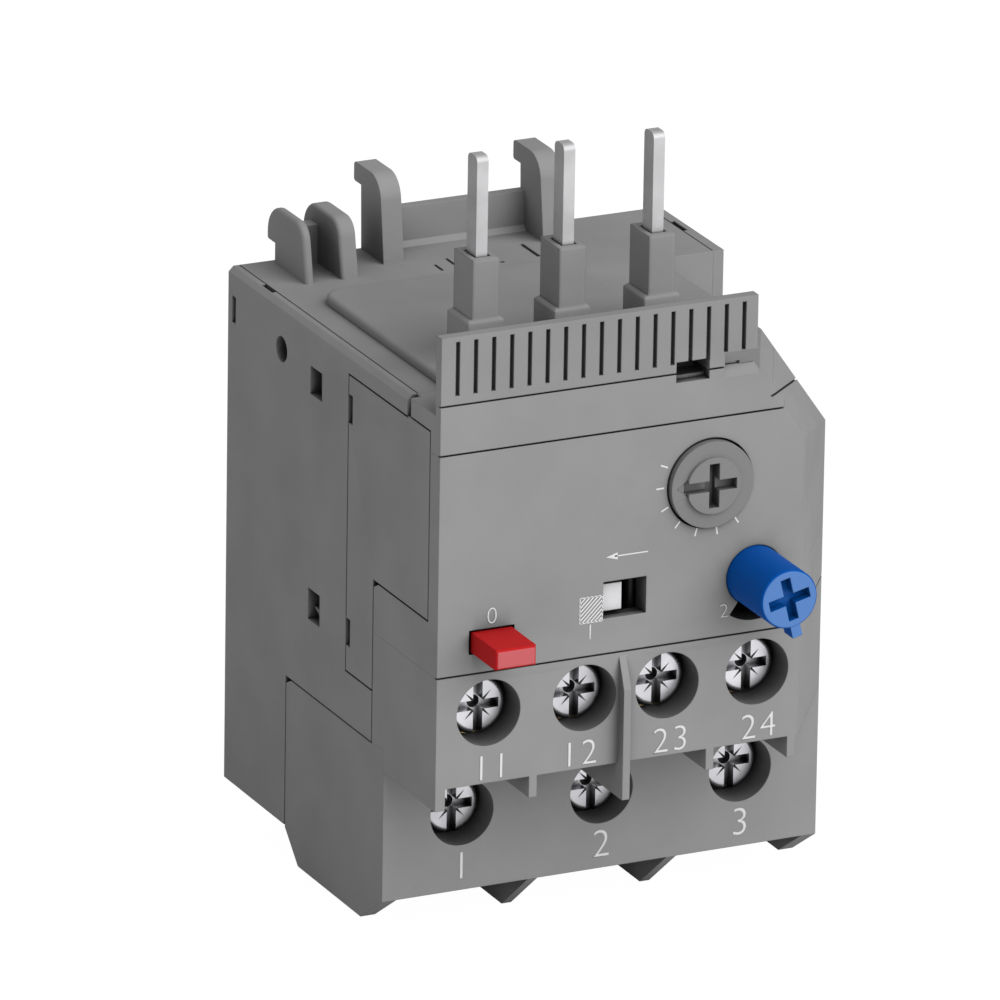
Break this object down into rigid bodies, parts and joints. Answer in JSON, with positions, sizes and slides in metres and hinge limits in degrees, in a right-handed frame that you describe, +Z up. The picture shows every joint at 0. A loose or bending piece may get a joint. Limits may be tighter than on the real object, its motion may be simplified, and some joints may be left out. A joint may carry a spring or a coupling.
{
  "type": "thermal overload relay",
  "caption": "Plug-in thermal overload relay: grey moulded case with blue reset knob, red stop button, setting dial, screw terminals, plug pins and deck hooks.",
  "frame": {"origin": "middle of the bounding box at its lowest level, between the low walls under the load terminals", "axes": "+X to the right seen from the front, +Y from the front face to the rear face, +Z up along the plug pins"},
  "size_m": [0.045, 0.0556, 0.0763],
  "materials": {
    "grey_plastic": "fine grained moulded plastic",
    "tinned_copper": "tinned, satin",
    "zinc_steel": "bright zinc plated",
    "plated_steel": "zinc plated",
    "brass": "satin",
    "bimetal": "rolled strip",
    "heater_alloy": "rolled ribbon",
    "black_plastic": "moulded",
    "white_plastic": "moulded",
    "dark_plastic": "moulded",
    "blue_plastic": "moulded, semi gloss",
    "red_plastic": "moulded, semi gloss",
    "dial_plastic": "moulded",
    "spring_steel": "drawn wire"
  },
  "bodies": {
    "case": {"base_housing": "grey_plastic", "mechanism_housing": "grey_plastic", "front_cover": "grey_plastic", "label_strip": "grey_plastic", "ribbed_panel": "grey_plastic", "aux_terminal_block": "grey_plastic", "load_terminal_block": "grey_plastic", "left_cover": "grey_plastic", "right_cover": "grey_plastic", "pin_carrier": "grey_plastic", "line_pin_1": "tinned_copper", "line_pin_2": "tinned_copper", "line_pin_3": "tinned_copper", "load_bar_1": "brass", "load_bar_2": "brass", "load_bar_3": "brass", "nc_fixed_contacts": "brass", "no_fixed_contacts": "brass", "bimetal_1": "bimetal", "bimetal_2": "bimetal", "bimetal_3": "bimetal", "heater_1": "heater_alloy", "heater_2": "heater_alloy", "heater_3": "heater_alloy", "lever_axle": "plated_steel", "reset_spring": "spring_steel", "stop_spring": "spring_steel"},
    "dial": {"setting_dial": "dial_plastic", "setting_cam": "black_plastic"},
    "reset_slide": {"reset_rod": "plated_steel"},
    "reset_button": {"reset_knob": "blue_plastic"},
    "stop": {"stop_button": "red_plastic"},
    "trip": {"trip_carrier": "black_plastic", "nc_bridge": "brass", "no_bridge": "brass", "test_slider": "white_plastic", "test_peg": "dark_plastic"},
    "push_bridge": {"push_slide": "black_plastic"},
    "differential_bridge": {"differential_slide": "black_plastic"},
    "lever": {"compensating_lever": "bimetal"},
    "load_clamp_1": {"load_screw_1": "zinc_steel", "load_clamp_1": "plated_steel"},
    "load_clamp_2": {"load_screw_2": "zinc_steel", "load_clamp_2": "plated_steel"},
    "load_clamp_3": {"load_screw_3": "zinc_steel", "load_clamp_3": "plated_steel"},
    "aux_clamp_1": {"aux_screw_1": "zinc_steel", "aux_clamp_1": "plated_steel"},
    "aux_clamp_2": {"aux_screw_2": "zinc_steel", "aux_clamp_2": "plated_steel"},
    "aux_clamp_3": {"aux_screw_3": "zinc_steel", "aux_clamp_3": "plated_steel"},
    "aux_clamp_4": {"aux_screw_4": "zinc_steel", "aux_clamp_4": "plated_steel"}
  },
  "joints": [
    {"name": "dial_turn", "type": "hinge", "parent": "case", "child": "dial", "pos_m": [0.00502, -0.01835, 0.04565], "axis": [0, -1, 0], "range_deg": [-24.8, 121.1]},
    {"name": "reset_push", "type": "slide", "parent": "case", "child": "reset_slide", "axis": [0, 1, 0], "range_m": [0, 0.0025], "stiffness_N_per_m": 800, "springref_m": -0.002, "deforming": ["reset_spring"]},
    {"name": "reset_turn", "type": "hinge", "parent": "reset_slide", "child": "reset_button", "pos_m": [0.00986, -0.01835, 0.03595], "axis": [0, -1, 0], "range_deg": [-58, 0]},
    {"name": "stop_push", "type": "slide", "parent": "case", "child": "stop", "axis": [0, 1, 0], "range_m": [0, 0.0025], "stiffness_N_per_m": 800, "springref_m": -0.002, "deforming": ["stop_spring"]},
    {"name": "trip_shift", "type": "slide", "parent": "case", "child": "trip", "axis": [1, 0, 0], "range_m": [-0.0016, 0]},
    {"name": "push_shift", "type": "slide", "parent": "case", "child": "push_bridge", "axis": [1, 0, 0], "range_m": [0, 0.0015]},
    {"name": "differential_shift", "type": "slide", "parent": "case", "child": "differential_bridge", "axis": [1, 0, 0], "range_m": [0, 0.0015]},
    {"name": "lever_swing", "type": "hinge", "parent": "case", "child": "lever", "pos_m": [-0.0005, -0.00555, 0.04135], "axis": [0, 1, 0], "range_deg": [0, 17]},
    {"name": "load_screw_1_in", "type": "slide", "parent": "case", "child": "load_clamp_1", "axis": [0, 1, 0], "range_m": [0, 0.003]},
    {"name": "load_screw_2_in", "type": "slide", "parent": "case", "child": "load_clamp_2", "axis": [0, 1, 0], "range_m": [0, 0.003]},
    {"name": "load_screw_3_in", "type": "slide", "parent": "case", "child": "load_clamp_3", "axis": [0, 1, 0], "range_m": [0, 0.003]},
    {"name": "aux_screw_1_in", "type": "slide", "parent": "case", "child": "aux_clamp_1", "axis": [0, 1, 0], "range_m": [0, 0.0022]},
    {"name": "aux_screw_2_in", "type": "slide", "parent": "case", "child": "aux_clamp_2", "axis": [0, 1, 0], "range_m": [0, 0.0022]},
    {"name": "aux_screw_3_in", "type": "slide", "parent": "case", "child": "aux_clamp_3", "axis": [0, 1, 0], "range_m": [0, 0.0022]},
    {"name": "aux_screw_4_in", "type": "slide", "parent": "case", "child": "aux_clamp_4", "axis": [0, 1, 0], "range_m": [0, 0.0022]}
  ],
  "couplings": [
    {"joint": "differential_shift", "follows": "push_shift", "ratio": 1},
    {"joint": "lever_swing", "follows": "push_shift", "rad_per_m": 190}
  ]
}
